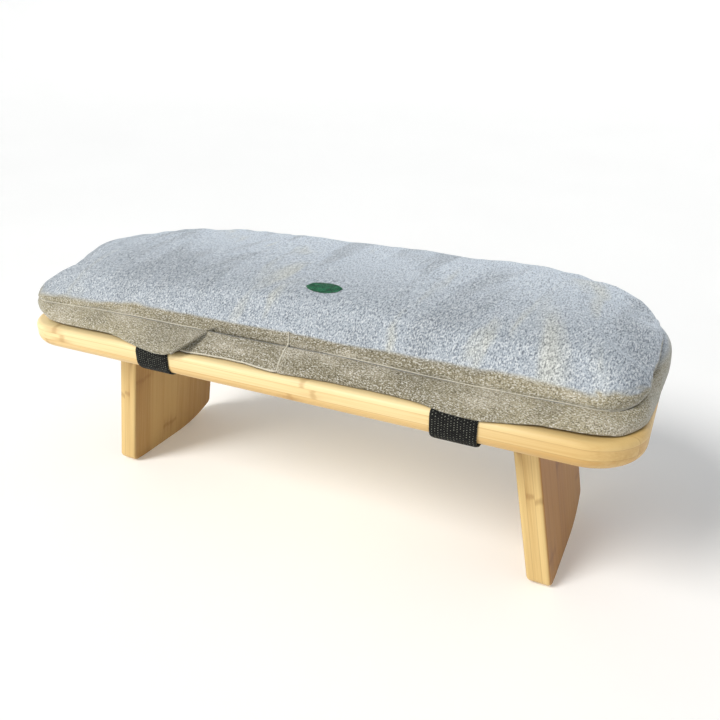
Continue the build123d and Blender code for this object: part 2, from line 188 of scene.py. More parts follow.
# ---------------------------------------------------------------- materials
class Nodes:
    """Builds a node material with short calls. Values are numbers or the sockets of other nodes."""

    def __init__(self, name):
        self.material = bpy.data.materials.new(name)
        self.material.use_nodes = True
        self.tree = self.material.node_tree
        self.shader = self.tree.nodes["Principled BSDF"]
        self.position = self.add("ShaderNodeTexCoord").outputs["Object"]

    def add(self, kind, **settings):
        node = self.tree.nodes.new(kind)
        for key, value in settings.items():
            setattr(node, key, value)
        return node

    def feed(self, socket, value):
        if isinstance(value, bpy.types.NodeSocket):
            self.tree.links.new(value, socket)
        else:
            socket.default_value = value

    def feed_colour(self, socket, value):
        self.feed(socket, value if isinstance(value, bpy.types.NodeSocket) else (*value, 1.0))

    def math(self, operation, a, b=0.0):
        node = self.add("ShaderNodeMath", operation=operation)
        for socket, value in zip(node.inputs, (a, b)):
            self.feed(socket, value)
        return node.outputs[0]

    def plus(self, a, b):
        return self.math("ADD", a, b)

    def minus(self, a, b):
        return self.math("SUBTRACT", a, b)

    def times(self, a, b):
        return self.math("MULTIPLY", a, b)

    def over(self, a, b):
        return self.math("DIVIDE", a, b)

    def absolute(self, value):
        return self.math("ABSOLUTE", value)

    def cell(self, value, pitch):
        """Number of the cell that a value falls in."""
        return self.math("FLOOR", self.over(value, pitch))

    def in_cell(self, value, pitch):
        """Place in the cell, from -0.5 to 0.5."""
        return self.minus(self.math("FRACT", self.over(value, pitch)), 0.5)

    def split(self, vector):
        node = self.add("ShaderNodeSeparateXYZ")
        self.feed(node.inputs[0], vector)
        return node.outputs

    def join(self, x, y, z):
        node = self.add("ShaderNodeCombineXYZ")
        for socket, value in zip(node.inputs, (x, y, z)):
            self.feed(socket, value)
        return node.outputs[0]

    def noise(self, vector, scale, detail=2.0, roughness=0.5, distortion=0.0):
        node = self.add("ShaderNodeTexNoise")
        self.feed(node.inputs["Vector"], vector)
        self.feed(node.inputs["Scale"], scale)
        self.feed(node.inputs["Detail"], detail)
        self.feed(node.inputs["Roughness"], roughness)
        self.feed(node.inputs["Distortion"], distortion)
        return node.outputs["Fac"]

    def stretched(self, vector, scale, turned=0.0, **settings):
        """Noise with a scale of its own for each axis, turned about Z by an angle in degrees."""
        node = self.add("ShaderNodeMapping")
        self.feed(node.inputs["Vector"], vector)
        node.inputs["Scale"].default_value = scale
        node.inputs["Rotation"].default_value = (0, 0, radians(turned))
        return self.noise(node.outputs[0], 1.0, **settings)

    def random(self, vector):
        node = self.add("ShaderNodeTexWhiteNoise")
        self.feed(node.inputs["Vector"], vector)
        return node.outputs["Value"]

    def span(self, value, low, high, to_low=0.0, to_high=1.0):
        """Smooth step from to_low at low to to_high at high."""
        node = self.add("ShaderNodeMapRange", interpolation_type="SMOOTHSTEP")
        names = ("Value", "From Min", "From Max", "To Min", "To Max")
        for key, item in zip(names, (value, low, high, to_low, to_high)):
            self.feed(node.inputs[key], item)
        return node.outputs[0]

    def mix(self, factor, a, b, blend="MIX"):
        node = self.add("ShaderNodeMix", data_type="RGBA", blend_type=blend)
        self.feed(node.inputs["Factor"], factor)
        self.feed_colour(node.inputs["A"], a)
        self.feed_colour(node.inputs["B"], b)
        return node.outputs["Result"]

    def bump(self, height, strength, distance):
        node = self.add("ShaderNodeBump")
        self.feed(node.inputs["Height"], height)
        node.inputs["Strength"].default_value = strength
        node.inputs["Distance"].default_value = distance
        return node.outputs[0]

    def finish(self, colour, roughness, normal=None, **sockets):
        """Feeds the shader. Other sockets are named with _ for a space."""
        self.feed_colour(self.shader.inputs["Base Color"], colour)
        self.feed(self.shader.inputs["Roughness"], roughness)
        if normal is not None:
            self.feed(self.shader.inputs["Normal"], normal)
        for key, value in sockets.items():
            self.feed(self.shader.inputs[key.replace("_", " ")], value)
        return self.material

    def tint(self, amount, tint):
        """Multiplies the finished colour by a tint where amount is 1."""
        base = self.shader.inputs["Base Color"]
        factor = self.mix(amount, (1.0, 1.0, 1.0), tint)
        self.feed(base, self.mix(1.0, base.links[0].from_socket, factor, "MULTIPLY"))


def scaled(colour, factor):
    return tuple(c * factor for c in colour)


def glue_line(nodes, place, width):
    """1 on the line where two strips of a width meet."""
    return nodes.span(nodes.absolute(nodes.in_cell(place, width)), 0.5 - GLUE_LINE / width, 0.5)


def bamboo(nodes, along, across, through, strip_width, layer, light, dark):
    """Laminated bamboo. along, across and through are coordinate sockets in metres."""
    strip_index = nodes.cell(across, strip_width)
    layer_index = nodes.cell(through, layer)
    tone = nodes.random(nodes.join(strip_index, layer_index, 0.0))
    shift = nodes.times(nodes.random(nodes.join(layer_index, strip_index, 3.0)), 0.9)
    moved = nodes.plus(along, shift)
    place = nodes.join(moved, across, through)

    fibre = nodes.stretched(place, (14, 900, 900), detail=4.0, roughness=0.62)
    streak = nodes.stretched(place, (5, 210, 210), detail=3.0, roughness=0.55)
    broad = nodes.stretched(place, (2.5, 18, 18))

    wobble = nodes.times(nodes.minus(nodes.stretched(place, (60, 160, 160)), 0.5), 0.035)
    from_ring = nodes.absolute(nodes.plus(nodes.in_cell(moved, RING_PITCH), wobble))
    ring = nodes.span(from_ring, 0.002, 0.016, 1.0, 0.0)
    patch = nodes.times(nodes.span(from_ring, 0.0, 0.065, 1.0, 0.0), nodes.span(streak, 0.42, 0.62))
    line = nodes.math("MAXIMUM", glue_line(nodes, across, strip_width), glue_line(nodes, through, layer))

    amount = nodes.plus(nodes.times(fibre, 0.42), nodes.times(streak, 0.50))
    amount = nodes.plus(amount, nodes.times(nodes.minus(tone, 0.5), 0.42))
    amount = nodes.plus(amount, nodes.times(nodes.minus(broad, 0.5), 0.35))
    colour = nodes.mix(nodes.span(amount, 0.22, 0.80), light, dark)
    deep = tuple(c * f for c, f in zip(dark, (0.62, 0.50, 0.38)))
    for mask, strength in ((ring, 0.42), (patch, 0.40), (line, 0.38)):
        colour = nodes.mix(nodes.times(mask, strength), colour, deep)
    roughness = nodes.span(fibre, 0.2, 0.8, 0.42, 0.56)
    height = nodes.minus(nodes.times(fibre, 0.5), nodes.times(line, 0.6))
    normal = nodes.bump(height, 0.28, 0.25 * MM)
    nodes.finish(colour, roughness, normal, Specular_IOR_Level=0.42, Coat_Weight=0.12, Coat_Roughness=0.35)


def board_bamboo():
    """Pale bamboo, with painted shade: darker and warmer towards the right end, where less light falls."""
    nodes = Nodes("bamboo_board")
    x, y, z = nodes.split(nodes.position)
    bamboo(nodes, x, y, z, 21 * MM, 6.4 * MM, (0.86, 0.68, 0.36), (0.68, 0.44, 0.165))
    # Painted shade: the board turns darker and warmer towards its right end.
    nodes.tint(nodes.span(x, 90 * MM, 240 * MM), (0.80, 0.70, 0.52))
    return nodes.material


def leg_bamboo():
    """Strips run down the splayed leg, so the coordinates are turned with it. Its broad faces get painted
    shade, and the outer ones get more of it, darker and browner.
    """
    nodes = Nodes("bamboo_leg")
    x, y, z = nodes.split(nodes.position)
    wide = nodes.absolute(x)
    along = nodes.minus(nodes.times(z, cos(LEG_SPLAY)), nodes.times(wide, sin(LEG_SPLAY)))
    through = nodes.plus(nodes.times(wide, cos(LEG_SPLAY)), nodes.times(z, sin(LEG_SPLAY)))
    bamboo(nodes, along, y, through, 19 * MM, 5.7 * MM, (0.73, 0.535, 0.232), (0.47, 0.27, 0.074))
    facing = nodes.split(nodes.add("ShaderNodeTexCoord").outputs["Normal"])[0]
    outwards = nodes.times(facing, nodes.math("SIGN", x))
    # Painted shade: darker on the broad faces, picked by the way each face points.
    nodes.tint(nodes.span(nodes.absolute(facing), 0.5, 0.9), (0.78, 0.72, 0.62))
    # More painted shade, darker and browner, on the faces that point outwards.
    nodes.tint(nodes.span(outwards, 0.5, 0.9), (0.78, 0.56, 0.26))
    return nodes.material


def sky_reflection_mask(nodes):
    """Mask of the painted reflection of a cool sky light: 1 on the top panel, where the surface faces up, with
    a wandering border.
    """
    facing = nodes.split(nodes.add("ShaderNodeNewGeometry").outputs["Normal"])[2]
    wander = nodes.times(nodes.minus(nodes.noise(nodes.position, 38.0, detail=3.0), 0.5), 0.16)
    up = nodes.span(nodes.plus(facing, wander), 0.14, 0.52)
    seam = BOARD_TOP + SEAM_HEIGHT
    return nodes.times(up, nodes.span(nodes.split(nodes.position)[2], seam + 4 * MM, seam + 10 * MM))


def pile_colour(nodes, up, side, up_colour, side_colour):
    """Colour of the pile with painted light: the top darker towards the near side and paler at the back, the
    sides darker in the middle and paler towards both ends; then patches.
    """
    x, y, _ = nodes.split(nodes.position)
    # Painted light: the top is shaded towards the near side and brighter at the back.
    top_with_painted_light = nodes.mix(nodes.span(y, -80 * MM, 80 * MM), scaled(up_colour, 0.84), scaled(up_colour, 1.36))
    # Painted light: the sides are darker in the middle and paler towards both ends.
    to_ends = nodes.span(nodes.absolute(nodes.minus(x, 20 * MM)), 60 * MM, 170 * MM)
    side_with_painted_light = nodes.mix(to_ends, scaled(side_colour, 0.80), scaled(side_colour, 1.08))
    colour = nodes.mix(up, side_with_painted_light, top_with_painted_light)

    brushed = nodes.stretched(nodes.position, (24, 6, 10), turned=-14, detail=3.0, distortion=0.8)
    crushed = nodes.stretched(nodes.position, (26, 26, 70), detail=4.0)
    patches = (
        (up, brushed, (0.54, 0.68), 0.50, (0.64, 0.62, 0.50)),
        (up, brushed, (0.48, 0.34), 0.55, scaled(up_colour, 0.62)),
        (side, crushed, (0.50, 0.70), 0.50, (0.55, 0.50, 0.40)),
        (side, crushed, (0.48, 0.34), 0.45, scaled(side_colour, 0.6)),
    )
    for region, pattern, limits, strength, tone in patches:
        mask = nodes.times(nodes.span(pattern, *limits), nodes.times(region, strength))
        colour = nodes.mix(mask, colour, tone)
    return colour


def pile_speckle(nodes, up, side):
    """Tufts of the pile: long and slanted on the top, finer on the sides."""
    pile = nodes.noise(nodes.position, 1500.0, roughness=0.7)
    grain = nodes.stretched(nodes.position, (700, 2100, 1300), turned=38, detail=1.0)
    fine = nodes.plus(nodes.times(pile, 0.55), nodes.times(grain, 0.45))
    tufts = nodes.stretched(nodes.position, (1150, 420, 900), turned=-32, detail=3.0, roughness=0.75)
    return nodes.plus(nodes.times(fine, side), nodes.times(tufts, up))


def velvet(name, up_colour, side_colour, pale=0.0):
    """Crushed velvet, taupe on the sides, with a painted reflection of a cool sky light where it faces up on
    the top; the pale share mixes in a painted highlight.
    """
    painted_sky_reflection = up_colour != side_colour
    nodes = Nodes(name)
    # The cool colour on the up-facing top is a painted reflection of the sky light, not the cloth's own colour.
    up = sky_reflection_mask(nodes) if painted_sky_reflection else 0.0
    side = nodes.minus(1.0, up)
    colour = pile_colour(nodes, up, side, up_colour, side_colour)
    speckle = pile_speckle(nodes, up, side)
    dark = nodes.mix(1.0, colour, (0.40, 0.40, 0.42), "MULTIPLY")
    light = nodes.mix(0.50, colour, (0.95, 0.95, 0.93))
    colour = nodes.mix(nodes.span(speckle, 0.38, 0.50), dark, colour)
    colour = nodes.mix(nodes.span(speckle, 0.51, 0.62), colour, light)
    # Painted highlight: the pale share lightens the whole surface.
    if pale:
        colour = nodes.mix(pale, colour, (0.80, 0.76, 0.64))
    normal = nodes.bump(speckle, 0.6, 0.8 * MM)
    tint = (0.82, 0.90, 1.0, 1.0) if painted_sky_reflection else (1.0, 0.96, 0.86, 1.0)
    sheen = {"Sheen_Weight": 0.50, "Sheen_Roughness": 0.35, "Sheen_Tint": tint}
    return nodes.finish(colour, 0.88, normal, Specular_IOR_Level=0.15, **sheen)


def elastic():
    """Black woven elastic: slanted rows of small ribs with paler flecks. Its map is in millimetres."""
    nodes = Nodes("woven_elastic")
    u, v, _ = nodes.split(nodes.add("ShaderNodeTexCoord").outputs["UV"])
    slant = nodes.plus(v, nodes.times(u, 0.42))
    rib_u = nodes.absolute(nodes.in_cell(u, 2.0))
    rib_v = nodes.absolute(nodes.in_cell(slant, 1.6))
    knit = nodes.minus(1.0, nodes.times(nodes.math("MAXIMUM", rib_u, rib_v), 2.0))
    fuzz = nodes.noise(nodes.position, 1500.0)
    fleck = nodes.times(nodes.span(rib_u, 0.31, 0.40), nodes.span(rib_v, 0.27, 0.38))
    fleck = nodes.times(fleck, nodes.span(fuzz, 0.40, 0.56))
    colour = nodes.mix(knit, (0.002, 0.002, 0.002), (0.014, 0.014, 0.013))
    colour = nodes.mix(nodes.times(fleck, 0.8), colour, (0.26, 0.27, 0.22))
    height = nodes.plus(knit, nodes.times(fuzz, 0.35))
    return nodes.finish(colour, 0.72, nodes.bump(height, 0.8, 0.35 * MM), Specular_IOR_Level=0.15)


def thread(name, light, dark):
    """Glossy embroidery thread, twisted."""
    nodes = Nodes(name)
    twist = nodes.stretched(nodes.position, (2600, 500, 900), turned=20)
    colour = nodes.mix(nodes.span(nodes.noise(nodes.position, 320.0), 0.35, 0.65), dark, light)
    normal = nodes.bump(twist, 0.5, 0.12 * MM)
    return nodes.finish(colour, 0.42, normal, Specular_IOR_Level=0.45, Sheen_Weight=0.2, Sheen_Roughness=0.3)


def metal(name, light, dark, roughness, grain=(40, 900, 900)):
    """Plated or brushed steel with fine scratches and slight tarnish."""
    nodes = Nodes(name)
    scratch = nodes.stretched(nodes.position, grain, detail=4.0, roughness=0.7)
    stain = nodes.noise(nodes.position, 90.0, detail=3.0)
    colour = nodes.mix(nodes.span(stain, 0.38, 0.66), light, dark)
    rough = nodes.span(scratch, 0.25, 0.75, roughness - 0.08, roughness + 0.12)
    return nodes.finish(colour, rough, nodes.bump(scratch, 0.18, 0.06 * MM), Metallic=1.0)


def woven(name, light, dark, pitch):
    """Plain woven tape."""
    nodes = Nodes(name)
    x, _, z = nodes.split(nodes.position)
    warp = nodes.math("SINE", nodes.times(x, 2 * pi / pitch))
    weft = nodes.math("SINE", nodes.times(z, 2 * pi / pitch))
    weave = nodes.plus(nodes.times(warp, weft), nodes.noise(nodes.position, 1400.0))
    colour = nodes.mix(nodes.span(weave, -0.4, 1.3), dark, light)
    normal = nodes.bump(weave, 0.6, 0.2 * MM)
    return nodes.finish(colour, 0.85, normal, Specular_IOR_Level=0.2, Sheen_Weight=0.2)


def moulded(name, light, dark):
    """Moulded nylon with a faint orange-peel surface."""
    nodes = Nodes(name)
    peel = nodes.noise(nodes.position, 1200.0)
    colour = nodes.mix(nodes.span(nodes.noise(nodes.position, 160.0), 0.35, 0.65), light, dark)
    normal = nodes.bump(peel, 0.2, 0.05 * MM)
    return nodes.finish(colour, nodes.span(peel, 0.3, 0.7, 0.36, 0.5), normal)


TAUPE = (0.315, 0.278, 0.185)
# Painted reflection of a cool sky light, laid on the up-facing top in place of the velvet's own taupe.
SKY_REFLECTION_GREY = (0.490, 0.545, 0.610)
VELVET = velvet("velvet_pile", SKY_REFLECTION_GREY, TAUPE)
VELVET_SIDE = velvet("velvet_side", TAUPE, TAUPE)
# Velvet made paler all over: a painted highlight for the thin welts and the rolled hem, whose ridges catch the
# light.
VELVET_PAINTED_HIGHLIGHT = velvet("velvet_painted_highlight", TAUPE, TAUPE, pale=0.62)
ELASTIC = elastic()
GREEN_THREAD = thread("green_thread", (0.020, 0.190, 0.085), (0.008, 0.085, 0.038))

SLOT_MATERIALS = {
    "bamboo_board": board_bamboo(),
    "bamboo_leg": leg_bamboo(),
    "hinge_steel": metal("hinge_plate", (0.66, 0.64, 0.60), (0.50, 0.48, 0.45), 0.34),
    "pin_steel": metal("hinge_pin", (0.60, 0.59, 0.58), (0.44, 0.43, 0.42), 0.30),
    "screw_steel": metal("screw_head", (0.64, 0.62, 0.58), (0.46, 0.44, 0.41), 0.36, (700, 700, 700)),
    "cup_steel": metal("catch_cup", (0.72, 0.72, 0.72), (0.56, 0.56, 0.56), 0.24, (500, 500, 500)),
    "magnet": metal("catch_magnet", (0.42, 0.42, 0.43), (0.30, 0.30, 0.31), 0.22, (500, 500, 500)),
    "zip_cloth": woven("zip_cloth", (0.30, 0.27, 0.20), (0.17, 0.15, 0.11), 0.9 * MM),
    "zip_nylon": moulded("zip_nylon", (0.32, 0.30, 0.24), (0.24, 0.22, 0.17)),
    "zip_metal": metal("zip_metal", (0.56, 0.54, 0.50), (0.40, 0.38, 0.35), 0.28, (600, 600, 600)),
}
for subpart in frame["record"]["subparts"]:
    material = SLOT_MATERIALS.get(subpart["material_slot"])
    if material:
        data = frame["nodes"][subpart["node"]].data
        data.materials.clear()
        data.materials.append(material)


# ---------------------------------------------------------------- cushion
def run(start, end, count):
    """Points from start up to, and not with, end."""
    across, up = end[0] - start[0], end[1] - start[1]
    return [(start[0] + across * i / count, start[1] + up * i / count) for i in range(count)]


def turn(centre, radii, first, count):
    """Quarter of an ellipse, anticlockwise from an angle in degrees, without its last point."""
    angles = [radians(first + 90 * i / count) for i in range(count)]
    return [(centre[0] + radii[0] * cos(a), centre[1] + radii[1] * sin(a)) for a in angles]


def plan(inset, density=1):
    """D-shaped plan of the cushion, drawn in from the side seam, as points with their outward directions."""
    half, near, far = SEAM_HALF_LENGTH - inset, SEAM_NEAR + inset, SEAM_FAR - inset
    r = max(NEAR_CORNER - inset, 5 * MM)
    ex, ey = (max(c - inset, 8 * MM) for c in FAR_CORNER)
    points = run((-half + r, near), (half - r, near), 150 * density)
    points += turn((half - r, near + r), (r, r), -90, 16 * density)
    points += run((half, near + r), (half, far - ey), 18 * density)
    points += turn((half - ex, far - ey), (ex, ey), 0, 60 * density)
    points += run((half - ex, far), (-half + ex, far), 70 * density)
    points += turn((-half + ex, far - ey), (ex, ey), 90, 60 * density)
    points += run((-half, far - ey), (-half, near + r), 18 * density)
    points += turn((-half + r, near + r), (r, r), 180, 16 * density)
    rim = np.array(points)
    step = np.roll(rim, -1, 0) - np.roll(rim, 1, 0)
    step /= np.linalg.norm(step, axis=1)[:, None]
    return rim, np.stack([step[:, 1], -step[:, 0]], 1)


def near_reach(x):
    """How far the hem of the near side stands out from the seam: the straps pull it over the board's edge."""
    left = 10.0 * MM * bell(x, -93 * MM, 32 * MM) if x < FOLD_X else 3.5 * MM * bell(x, FOLD_X, 20 * MM)
    middle = 3.5 * MM * bell(x, BAND_SEAM_X, 24 * MM)
    right = 8.0 * MM * bell(x, 142 * MM, 30 * MM)
    return 10.0 * MM + left + middle + right


def near_corner(point):
    """1 at the two near corners, 0 a little way from them."""
    return bell(abs(point[0]), SEAM_HALF_LENGTH, 22 * MM) * bell(point[1], SEAM_NEAR + 12 * MM, 24 * MM)


def faces_near(outward):
    """1 on the straight near side, 0 elsewhere."""
    return smooth(-0.85, -1.0, outward[1])


def hem_reach(point, outward):
    """How far the hem stands out from the seam at any place round the cushion."""
    near_side = max(0.0, -outward[1])
    far_side = max(0.0, outward[1])
    zip_side = far_side * smooth(150 * MM, 118 * MM, abs(point[0]))
    drawn_in = (11.0 if point[0] < 0 else 5.5) * MM * near_corner(point)
    ends = (1 - near_side - far_side) * 7.0 * MM - drawn_in
    return near_side * near_reach(point[0]) + ends + far_side * 2.5 * MM - zip_side * 5.8 * MM


def end_tier(point):
    """1 along the right end, where the band swells out below the top panel's edge."""
    return smooth(-84 * MM, 15 * MM, point[1]) * smooth(140 * MM, 215 * MM, point[0])


def seam_at(point):
    """Height of the side seam above the board: low at the near right corner, high round the right end."""
    low = 2.6 * MM * smooth(30 * MM, 130 * MM, point[0]) * smooth(-60 * MM, -84 * MM, point[1])
    return SEAM_HEIGHT - low + 9.5 * MM * end_tier(point)


def seam_inset(point):
    """How far the seam is drawn in at the right end."""
    return END_INSET * smooth(-84 * MM, -40 * MM, point[1]) * smooth(140 * MM, 215 * MM, point[0])


def edge_height(point):
    """Height of the top panel's edge above the board: low on the near side, lowest at its left corner."""
    x = point[0]
    near = (28.0 - 6.0 * smooth(-120 * MM, -225 * MM, x)) * MM
    back = 42.0 - 3.0 * smooth(20 * MM, 110 * MM, x) - 5.0 * smooth(195 * MM, 236 * MM, x)
    share = smooth(-90 * MM, 5 * MM, point[1])
    return near + (back * MM - near) * share


def seam_fade(point, outward):
    """1 in the middle of the near side, where the pile hides the seam."""
    x = point[0]
    return faces_near(outward) * smooth(-80 * MM, -55 * MM, x) * smooth(52 * MM, 22 * MM, x)


def over_strap(point, outward):
    """1 where a strap runs under the hem."""
    if abs(outward[1]) < 0.5:
        return 0.0
    beside = [max(low.x - point[0], point[0] - high.x) for low, high in STRAP_BOXES.values()]
    return max(smooth(6 * MM, 0.0, distance) for distance in beside)


def edge_bulge(point):
    """How much further the panel's edge stands out where the filling is pushed into it."""
    left = 9.0 * MM * bell(point[0], -SEAM_HALF_LENGTH, 30 * MM) * bell(point[1], -77 * MM, 26 * MM)
    end = 2.5 * MM * smooth(200 * MM, 236 * MM, point[0]) * smooth(-60 * MM, -10 * MM, point[1])
    shoulder = 4.0 * MM * smooth(130 * MM, 200 * MM, point[0]) * smooth(0.0, 50 * MM, point[1])
    return left + end + shoulder


# Rings of the top's section from below upwards: inset from the seam plan in millimetres, then the height in
# millimetres, or the share of the way from the seam to the panel's edge, or from there to the crown
BELOW_SEAM = [(15.0, 2.3), (9.0, 2.3), (8.0, 11.0), (2.5, 13.4)]
SIDE_RINGS = [(0.9, 0.0), (-0.8, 0.20), (-1.6, 0.50), (-1.5, 0.78), (-0.2, 0.95)]
CROWN_RINGS = [
    (3.0, 0.09), (7.0, 0.27), (13.0, 0.44), (22.0, 0.60), (34.0, 0.75), (48.0, 0.88), (64.0, 0.96),
    (80.0, 1.0),
]


def cushion_form():
    """Closed D-shaped form of the top panel and its foam, a little smaller than the filled cushion."""
    seam, outward = plan(0.0)
    edges = [edge_height(p) for p in seam]
    bulges = [edge_bulge(p) for p in seam]
    rings = []
    for inset, height in BELOW_SEAM:
        rim, out = plan(inset * MM)
        ring = []
        for p, n, s in zip(rim, out, seam):
            drawn = seam_inset(s)
            ring.append((p[0] - n[0] * drawn, p[1] - n[1] * drawn, height * MM * seam_at(s) / SEAM_HEIGHT))
        rings.append(ring)
    for inset, share in SIDE_RINGS:
        ring = []
        for p, n, edge, bulge in zip(seam, outward, edges, bulges):
            out = bulge * cos(0.95 * share) - inset * MM - seam_inset(p)
            ring.append((p[0] + n[0] * out, p[1] + n[1] * out, seam_at(p) + (edge - seam_at(p)) * share))
        rings.append(ring)
    for inset, share in CROWN_RINGS:
        rim, out = plan(inset * MM)
        shifts = [0.6 * b * exp(-inset / 6) - seam_inset(s) * exp(-inset / 12) for b, s in zip(bulges, seam)]
        rings.append([
            (p[0] + n[0] * shift, p[1] + n[1] * shift, e + (CROWN_HEIGHT - e) * share)
            for p, n, e, shift in zip(rim, out, edges, shifts)
        ])
    count = len(seam)
    verts = [(x, y, BOARD_TOP + z) for ring in rings for x, y, z in ring]
    faces = []
    for i in range(len(rings) - 1):
        faces += ring_faces(i, i + 1, count)
    return verts, faces + end_caps(len(rings), count)


def remesh(obj, size):
    modifier = obj.modifiers.new("even_mesh", "REMESH")
    modifier.mode = "VOXEL"
    modifier.voxel_size = size
    apply_modifiers(obj)


def apply_modifiers(obj):
    """Replaces the mesh with what its modifiers make of it."""
    depsgraph = bpy.context.evaluated_depsgraph_get()
    made = bpy.data.meshes.new_from_object(obj.evaluated_get(depsgraph), depsgraph=depsgraph)
    obj.modifiers.clear()
    obj.data = made


def coordinates(obj):
    flat = np.zeros(len(obj.data.vertices) * 3)
    obj.data.vertices.foreach_get("co", flat)
    return flat.reshape(-1, 3)


def set_coordinates(obj, points):
    obj.data.vertices.foreach_set("co", points.reshape(-1))
    obj.data.update()


def inflate(obj):
    """Cloth simulation of the filled cover, sewn down at the seam and held flat underneath.

    No vertex moves further than about CLOTH_CAP.
    """
    start = coordinates(obj)
    height = start[:, 2] - BOARD_TOP
    held = obj.vertex_groups.new(name="held")
    fixed = height < np.array([seam_at(point) for point in start]) + 1.5 * MM
    held.add(np.flatnonzero(fixed).tolist(), 1.0, "REPLACE")
    modifier = obj.modifiers.new("filling", "CLOTH")
    cloth = modifier.settings
    cloth.quality = 5
    cloth.mass = 0.25
    cloth.tension_stiffness = 12
    cloth.compression_stiffness = 9
    cloth.shear_stiffness = 5
    cloth.bending_stiffness = 0.3
    cloth.shrink_min = -0.008
    cloth.vertex_group_mass = "held"
    cloth.use_pressure = True
    cloth.uniform_pressure_force = 4.0
    cloth.effector_weights.gravity = 0.0
    modifier.collision_settings.use_collision = False
    modifier.point_cache.frame_start = 1
    modifier.point_cache.frame_end = FILL_FRAMES
    scene = bpy.context.scene
    for number in range(1, FILL_FRAMES + 1):
        scene.frame_set(number)
    apply_modifiers(obj)
    scene.frame_set(1)
    moved = coordinates(obj) - start
    length = np.linalg.norm(moved, axis=1)
    allowed = CLOTH_CAP * np.tanh(length / CLOTH_CAP)
    set_coordinates(obj, start + moved * (allowed / np.maximum(length, 1e-9))[:, None])


def subdivide(obj):
    modifier = obj.modifiers.new("finer", "SUBSURF")
    modifier.levels = modifier.render_levels = 1
    apply_modifiers(obj)


def band_seam_x(height):
    """X of the upright seam of the near side."""
    return BAND_SEAM_X + height * BAND_SEAM_LEAN


def beside_fold(x, height):
    """Distance along X to the fold line of the near side, positive to its right."""
    return x - FOLD_X - height * FOLD_LEAN


def fold_push(beside):
    """The left part of the band is folded over the right part, which lies further in."""
    if beside < 0:
        return FOLD_DEPTH * exp(beside / (20 * MM))
    return -FOLD_DEPTH * exp(-beside / (24 * MM))


def dress(obj):
    """Seam tuck, the head of the fold and soft dents, laid on the simulated form."""
    points = coordinates(obj)
    rim, outward = plan(0.0)
    block = 4000
    for start in range(0, len(points), block):
        part = points[start:start + block]
        gap = part[:, None, :2] - rim[None]
        nearest = np.argmin((gap ** 2).sum(2), 1)
        direction = outward[nearest]
        for i, point in enumerate(part):
            x, y, z = point
            height = z - BOARD_TOP
            n = direction[i]
            inside = -float(gap[i, nearest[i]] @ n)
            if height < 8 * MM:
                continue
            edge = smooth(24 * MM, 6 * MM, inside)
            tuck = 1.2 - 0.9 * seam_fade(point, n)
            push = -tuck * MM * bell(height, seam_at(rim[nearest[i]]), 1.8 * MM) * edge
            push += 0.8 * MM * noise.noise(Vector((x * 42, y * 42, height * 30))) * edge
            if n[1] < -0.6 and height < 26 * MM:
                push += 0.7 * fold_push(beside_fold(x, height)) * smooth(21 * MM, 14 * MM, height)
                groove = bell(x, band_seam_x(height), 1.8 * MM) * smooth(27 * MM, 20 * MM, height)
                push -= 0.9 * MM * groove
            broad = noise.noise(Vector((x * 10, y * 12, 2.0)))
            soft = noise.noise(Vector((x * 26, y * 20, 7.0)))
            lift = (0.9 * broad + 0.5 * soft) * MM * smooth(22 * MM, 36 * MM, height)
            part[i] = (x + n[0] * push, y + n[1] * push, z + lift)
    set_coordinates(obj, points)


def hem_height(point, outward, strap_under):
    """Height of the hem above the board, raised towards both near corners and at the fold."""
    near_side = faces_near(outward)
    x = point[0]
    corners = 1.7 * smooth(-122 * MM, -150 * MM, x) + 1.3 * smooth(165 * MM, 185 * MM, x)
    fold = 3.0 * bell(x, FOLD_X, 3.0 * MM) if x < FOLD_X else 0.0
    on_strap = 1.1 * (1 - near_side) - 0.6 * near_side
    return (1.2 + on_strap * strap_under + near_side * (corners + fold)) * MM


def band_form(point, outward, t):
    """How far the band stands out from the seam plan, t of the way down from the seam to the hem."""
    near_side = faces_near(outward)
    tuck = 1.2 - 0.7 * seam_fade(point, outward)
    out = hem_reach(point, outward) * t ** 0.92 + 1.5 * MM * sin(pi * t) ** 0.8 - tuck * MM * (1 - t) ** 6
    fullness = 0.62 + 0.38 * smooth(-70 * MM, 20 * MM, point[1])
    swollen = (8.5 * fullness * (1 - (1 - t) ** 5) - 2.5 * t - 3.0 * t * near_corner(point)) * MM
    drawn = seam_inset(point)
    out += (swollen - out) * drawn / END_INSET - drawn * (1 - t * t)
    out += edge_bulge(point) * cos(0.5 * pi * t)
    out += near_side * fold_push(point[0] - FOLD_X) * smooth(0.0, 0.15, t)
    return out - near_side * 1.0 * MM * bell(point[0], BAND_SEAM_X, 1.5 * MM)


def band_waves(point, height, t, strap_under):
    """Pleats, ripples and small dents of the band."""
    x, y = point
    pleat = noise.noise(Vector((x * 70 - height * 50, y * 70, height * 30)))
    ripple = noise.noise(Vector((x * 24, y * 24, 5.0)))
    small = noise.noise(Vector((x * 260, y * 260, height * 260)))
    return (0.75 * pleat * sin(pi * min(t, 0.75)) + 0.9 * ripple * t * (1 - strap_under) + 0.10 * small) * MM


